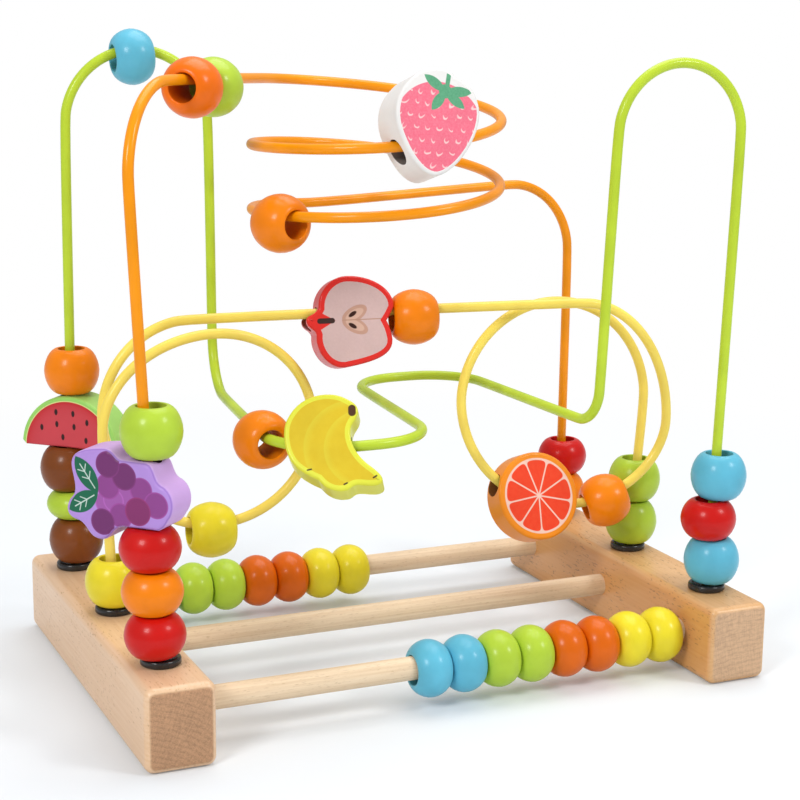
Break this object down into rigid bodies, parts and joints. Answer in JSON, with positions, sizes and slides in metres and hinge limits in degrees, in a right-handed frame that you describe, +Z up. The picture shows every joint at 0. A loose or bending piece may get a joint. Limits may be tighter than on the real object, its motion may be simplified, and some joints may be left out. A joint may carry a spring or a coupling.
{
  "type": "wooden maze toy",
  "caption": "Bead maze on two wooden blocks joined by dowels, with bent coated wires and wooden beads and fruit that slide along them.",
  "frame": {"origin": "on the surface that the blocks stand on, under the middle of the toy's box", "axes": "+X along the dowels from the left block to the right block, +Y to the back, +Z up"},
  "size_m": [0.3116, 0.2, 0.2888],
  "materials": {
    "beech": "sanded and clear coated, satin",
    "dowel_wood": "sanded, satin",
    "black_plastic": "glossy moulded plastic",
    "green_wire": "glossy coating",
    "orange_wire": "glossy coating",
    "yellow_wire": "glossy coating",
    "blue_lacquer": "glossy lacquer",
    "green_lacquer": "glossy lacquer",
    "orange_lacquer": "glossy lacquer",
    "yellow_lacquer": "glossy lacquer",
    "red_lacquer": "glossy lacquer",
    "brown_lacquer": "glossy lacquer",
    "watermelon_paint": "painted sides, printed face",
    "grapes_paint": "painted sides, printed face",
    "strawberry_paint": "painted sides, printed face",
    "apple_paint": "painted sides, printed face",
    "banana_paint": "painted sides, printed face",
    "orange_slice_paint": "painted sides, printed face"
  },
  "bodies": {
    "base": {"left_block": "beech", "right_block": "beech", "front_dowel": "dowel_wood", "middle_dowel": "dowel_wood", "back_dowel": "dowel_wood", "left_front_bush": "black_plastic", "left_middle_bush": "black_plastic", "left_back_bush": "black_plastic", "right_front_bush": "black_plastic", "right_middle_bush": "black_plastic", "right_back_bush": "black_plastic", "green_wire": "green_wire", "orange_wire": "orange_wire", "yellow_wire": "yellow_wire"},
    "front_row_yellow_2": {"front_row_yellow_2": "yellow_lacquer"},
    "front_row_yellow_1": {"front_row_yellow_1": "yellow_lacquer"},
    "front_row_orange_2": {"front_row_orange_2": "orange_lacquer"},
    "front_row_orange_1": {"front_row_orange_1": "orange_lacquer"},
    "front_row_green_2": {"front_row_green_2": "green_lacquer"},
    "front_row_green_1": {"front_row_green_1": "green_lacquer"},
    "front_row_blue_2": {"front_row_blue_2": "blue_lacquer"},
    "front_row_blue_1": {"front_row_blue_1": "blue_lacquer"},
    "back_row_blue_1": {"back_row_blue_1": "blue_lacquer"},
    "back_row_blue_2": {"back_row_blue_2": "blue_lacquer"},
    "back_row_green_1": {"back_row_green_1": "green_lacquer"},
    "back_row_green_2": {"back_row_green_2": "green_lacquer"},
    "back_row_orange_1": {"back_row_orange_1": "orange_lacquer"},
    "back_row_orange_2": {"back_row_orange_2": "orange_lacquer"},
    "back_row_yellow_1": {"back_row_yellow_1": "yellow_lacquer"},
    "back_row_yellow_2": {"back_row_yellow_2": "yellow_lacquer"},
    "left_back_brown_1": {"left_back_brown_1": "brown_lacquer"},
    "left_back_green": {"left_back_green": "green_lacquer"},
    "left_back_brown_2": {"left_back_brown_2": "brown_lacquer"},
    "watermelon": {"watermelon": "watermelon_paint"},
    "left_back_orange": {"left_back_orange": "orange_lacquer"},
    "left_middle_yellow": {"left_middle_yellow": "yellow_lacquer"},
    "left_front_red_1": {"left_front_red_1": "red_lacquer"},
    "left_front_orange": {"left_front_orange": "orange_lacquer"},
    "left_front_red_2": {"left_front_red_2": "red_lacquer"},
    "grapes": {"grapes": "grapes_paint"},
    "left_front_green": {"left_front_green": "green_lacquer"},
    "right_front_blue_1": {"right_front_blue_1": "blue_lacquer"},
    "right_front_red": {"right_front_red": "red_lacquer"},
    "right_front_blue_2": {"right_front_blue_2": "blue_lacquer"},
    "right_middle_green_1": {"right_middle_green_1": "green_lacquer"},
    "right_middle_green_2": {"right_middle_green_2": "green_lacquer"},
    "right_back_orange": {"right_back_orange": "orange_lacquer"},
    "right_back_red": {"right_back_red": "red_lacquer"},
    "arch_blue": {"arch_blue": "blue_lacquer"},
    "dip_orange": {"dip_orange": "orange_lacquer"},
    "banana": {"banana": "banana_paint"},
    "top_orange": {"top_orange": "orange_lacquer"},
    "top_green": {"top_green": "green_lacquer"},
    "strawberry": {"strawberry": "strawberry_paint"},
    "coil_orange": {"coil_orange": "orange_lacquer"},
    "apple": {"apple": "apple_paint"},
    "level_orange": {"level_orange": "orange_lacquer"},
    "left_loop_yellow": {"left_loop_yellow": "yellow_lacquer"},
    "right_loop_orange": {"right_loop_orange": "orange_lacquer"},
    "orange_slice": {"orange_slice": "orange_slice_paint"}
  },
  "joints": [
    {"name": "front_row_yellow_2_travel", "type": "slide", "parent": "base", "child": "front_row_yellow_2", "axis": [1, 0, 0], "range_m": [-0.012, 0.0022]},
    {"name": "front_row_yellow_1_travel", "type": "slide", "parent": "front_row_yellow_2", "child": "front_row_yellow_1", "axis": [1, 0, 0], "range_m": [-0.012, 0]},
    {"name": "front_row_orange_2_travel", "type": "slide", "parent": "front_row_yellow_1", "child": "front_row_orange_2", "axis": [1, 0, 0], "range_m": [-0.012, 0]},
    {"name": "front_row_orange_1_travel", "type": "slide", "parent": "front_row_orange_2", "child": "front_row_orange_1", "axis": [1, 0, 0], "range_m": [-0.012, 0]},
    {"name": "front_row_green_2_travel", "type": "slide", "parent": "front_row_orange_1", "child": "front_row_green_2", "axis": [1, 0, 0], "range_m": [-0.012, 0]},
    {"name": "front_row_green_1_travel", "type": "slide", "parent": "front_row_green_2", "child": "front_row_green_1", "axis": [1, 0, 0], "range_m": [-0.012, 0]},
    {"name": "front_row_blue_2_travel", "type": "slide", "parent": "front_row_green_1", "child": "front_row_blue_2", "axis": [1, 0, 0], "range_m": [-0.012, 0]},
    {"name": "front_row_blue_1_travel", "type": "slide", "parent": "front_row_blue_2", "child": "front_row_blue_1", "axis": [1, 0, 0], "range_m": [-0.012, 0]},
    {"name": "back_row_blue_1_travel", "type": "slide", "parent": "base", "child": "back_row_blue_1", "axis": [1, 0, 0], "range_m": [-0.0022, 0.012]},
    {"name": "back_row_blue_2_travel", "type": "slide", "parent": "back_row_blue_1", "child": "back_row_blue_2", "axis": [1, 0, 0], "range_m": [0, 0.012]},
    {"name": "back_row_green_1_travel", "type": "slide", "parent": "back_row_blue_2", "child": "back_row_green_1", "axis": [1, 0, 0], "range_m": [0, 0.012]},
    {"name": "back_row_green_2_travel", "type": "slide", "parent": "back_row_green_1", "child": "back_row_green_2", "axis": [1, 0, 0], "range_m": [0, 0.012]},
    {"name": "back_row_orange_1_travel", "type": "slide", "parent": "back_row_green_2", "child": "back_row_orange_1", "axis": [1, 0, 0], "range_m": [0, 0.012]},
    {"name": "back_row_orange_2_travel", "type": "slide", "parent": "back_row_orange_1", "child": "back_row_orange_2", "axis": [1, 0, 0], "range_m": [0, 0.012]},
    {"name": "back_row_yellow_1_travel", "type": "slide", "parent": "back_row_orange_2", "child": "back_row_yellow_1", "axis": [1, 0, 0], "range_m": [0, 0.012]},
    {"name": "back_row_yellow_2_travel", "type": "slide", "parent": "back_row_yellow_1", "child": "back_row_yellow_2", "axis": [1, 0, 0], "range_m": [0, 0.012]},
    {"name": "left_back_brown_1_travel", "type": "slide", "parent": "base", "child": "left_back_brown_1", "axis": [0.0044, 0, 1], "range_m": [0, 0.019]},
    {"name": "left_back_green_travel", "type": "slide", "parent": "left_back_brown_1", "child": "left_back_green", "axis": [0.0044, 0, 1], "range_m": [0, 0.019]},
    {"name": "left_back_brown_2_travel", "type": "slide", "parent": "left_back_green", "child": "left_back_brown_2", "axis": [0.0044, 0, 1], "range_m": [0, 0.019]},
    {"name": "watermelon_travel", "type": "slide", "parent": "left_back_brown_2", "child": "watermelon", "axis": [0.0044, 0, 1], "range_m": [0, 0.019]},
    {"name": "left_back_orange_travel", "type": "slide", "parent": "watermelon", "child": "left_back_orange", "axis": [0.0044, 0, 1], "range_m": [0, 0.019]},
    {"name": "left_middle_yellow_travel", "type": "slide", "parent": "base", "child": "left_middle_yellow", "axis": [-0.0508, 0, 0.9987], "range_m": [0, 0.054]},
    {"name": "left_front_red_1_travel", "type": "slide", "parent": "base", "child": "left_front_red_1", "axis": [-0.0464, 0.0133, 0.9988], "range_m": [0, 0.017]},
    {"name": "left_front_orange_travel", "type": "slide", "parent": "left_front_red_1", "child": "left_front_orange", "axis": [-0.0464, 0.0133, 0.9988], "range_m": [0, 0.017]},
    {"name": "left_front_red_2_travel", "type": "slide", "parent": "left_front_orange", "child": "left_front_red_2", "axis": [-0.0464, 0.0133, 0.9988], "range_m": [0, 0.017]},
    {"name": "grapes_travel", "type": "slide", "parent": "left_front_red_2", "child": "grapes", "axis": [-0.0464, 0.0133, 0.9988], "range_m": [0, 0.017]},
    {"name": "left_front_green_travel", "type": "slide", "parent": "grapes", "child": "left_front_green", "axis": [-0.0464, 0.0133, 0.9988], "range_m": [0, 0.017]},
    {"name": "right_front_blue_1_travel", "type": "slide", "parent": "base", "child": "right_front_blue_1", "axis": [0.0364, 0, 0.9993], "range_m": [0, 0.04]},
    {"name": "right_front_red_travel", "type": "slide", "parent": "right_front_blue_1", "child": "right_front_red", "axis": [0.0364, 0, 0.9993], "range_m": [0, 0.04]},
    {"name": "right_front_blue_2_travel", "type": "slide", "parent": "right_front_red", "child": "right_front_blue_2", "axis": [0.0364, 0, 0.9993], "range_m": [0, 0.04]},
    {"name": "right_middle_green_1_travel", "type": "slide", "parent": "base", "child": "right_middle_green_1", "axis": [0.0909, 0, 0.9959], "range_m": [0, 0.0125]},
    {"name": "right_middle_green_2_travel", "type": "slide", "parent": "right_middle_green_1", "child": "right_middle_green_2", "axis": [0.0909, 0, 0.9959], "range_m": [0, 0.0125]},
    {"name": "right_back_orange_travel", "type": "slide", "parent": "base", "child": "right_back_orange", "axis": [0.0057, 0, 1], "range_m": [0, 0.045]},
    {"name": "right_back_red_travel", "type": "slide", "parent": "right_back_orange", "child": "right_back_red", "axis": [0.0057, 0, 1], "range_m": [0, 0.045]},
    {"name": "arch_blue_travel", "type": "hinge", "parent": "base", "child": "arch_blue", "pos_m": [-0.08841, 0.0715, 0.2454], "axis": [0, 1, 0], "range_deg": [-50, 50]},
    {"name": "dip_orange_travel", "type": "slide", "parent": "base", "child": "dip_orange", "axis": [0.1177, 0.993, 0], "range_m": [0, 0.065]},
    {"name": "banana_travel", "type": "hinge", "parent": "base", "child": "banana", "pos_m": [-0.03568, -0.038, 0.119], "axis": [0, 0, 1], "range_deg": [0, 14]},
    {"name": "top_orange_travel", "type": "slide", "parent": "base", "child": "top_orange", "axis": [0.6677, 0.7439, -0.0285], "range_m": [-0.012, 0]},
    {"name": "top_green_travel", "type": "slide", "parent": "base", "child": "top_green", "axis": [0.6677, 0.7439, -0.0285], "range_m": [0, 0.034]},
    {"name": "strawberry_travel", "type": "hinge", "parent": "base", "child": "strawberry", "pos_m": [-0.00009, -0.00221, 0.2474], "axis": [0.0822, 0.0633, -0.9946], "range_deg": [-20, 20]},
    {"name": "coil_orange_travel", "type": "hinge", "parent": "base", "child": "coil_orange", "pos_m": [0.00019, -0.00237, 0.21286], "axis": [0.0273, -0.0176, -0.9995], "range_deg": [-25, 25]},
    {"name": "apple_travel", "type": "slide", "parent": "base", "child": "apple", "axis": [0.9835, -0.1803, 0.0137], "range_m": [-0.01, 0]},
    {"name": "level_orange_travel", "type": "slide", "parent": "base", "child": "level_orange", "axis": [0.9835, -0.1803, 0.0137], "range_m": [0, 0.025]},
    {"name": "left_loop_yellow_travel", "type": "hinge", "parent": "base", "child": "left_loop_yellow", "pos_m": [-0.07207, 0.0116, 0.11646], "axis": [0.0549, 0.9984, 0.0157], "range_deg": [-25, 25]},
    {"name": "right_loop_orange_travel", "type": "hinge", "parent": "base", "child": "right_loop_orange", "pos_m": [0.10073, -0.01341, 0.12203], "axis": [0.0573, 0.998, 0.0263], "range_deg": [-1.5, 3.5]},
    {"name": "orange_slice_travel", "type": "hinge", "parent": "base", "child": "orange_slice", "pos_m": [0.10026, -0.00926, 0.12466], "axis": [0.0997, 0.9941, -0.0435], "range_deg": [-3.5, 15]}
  ]
}
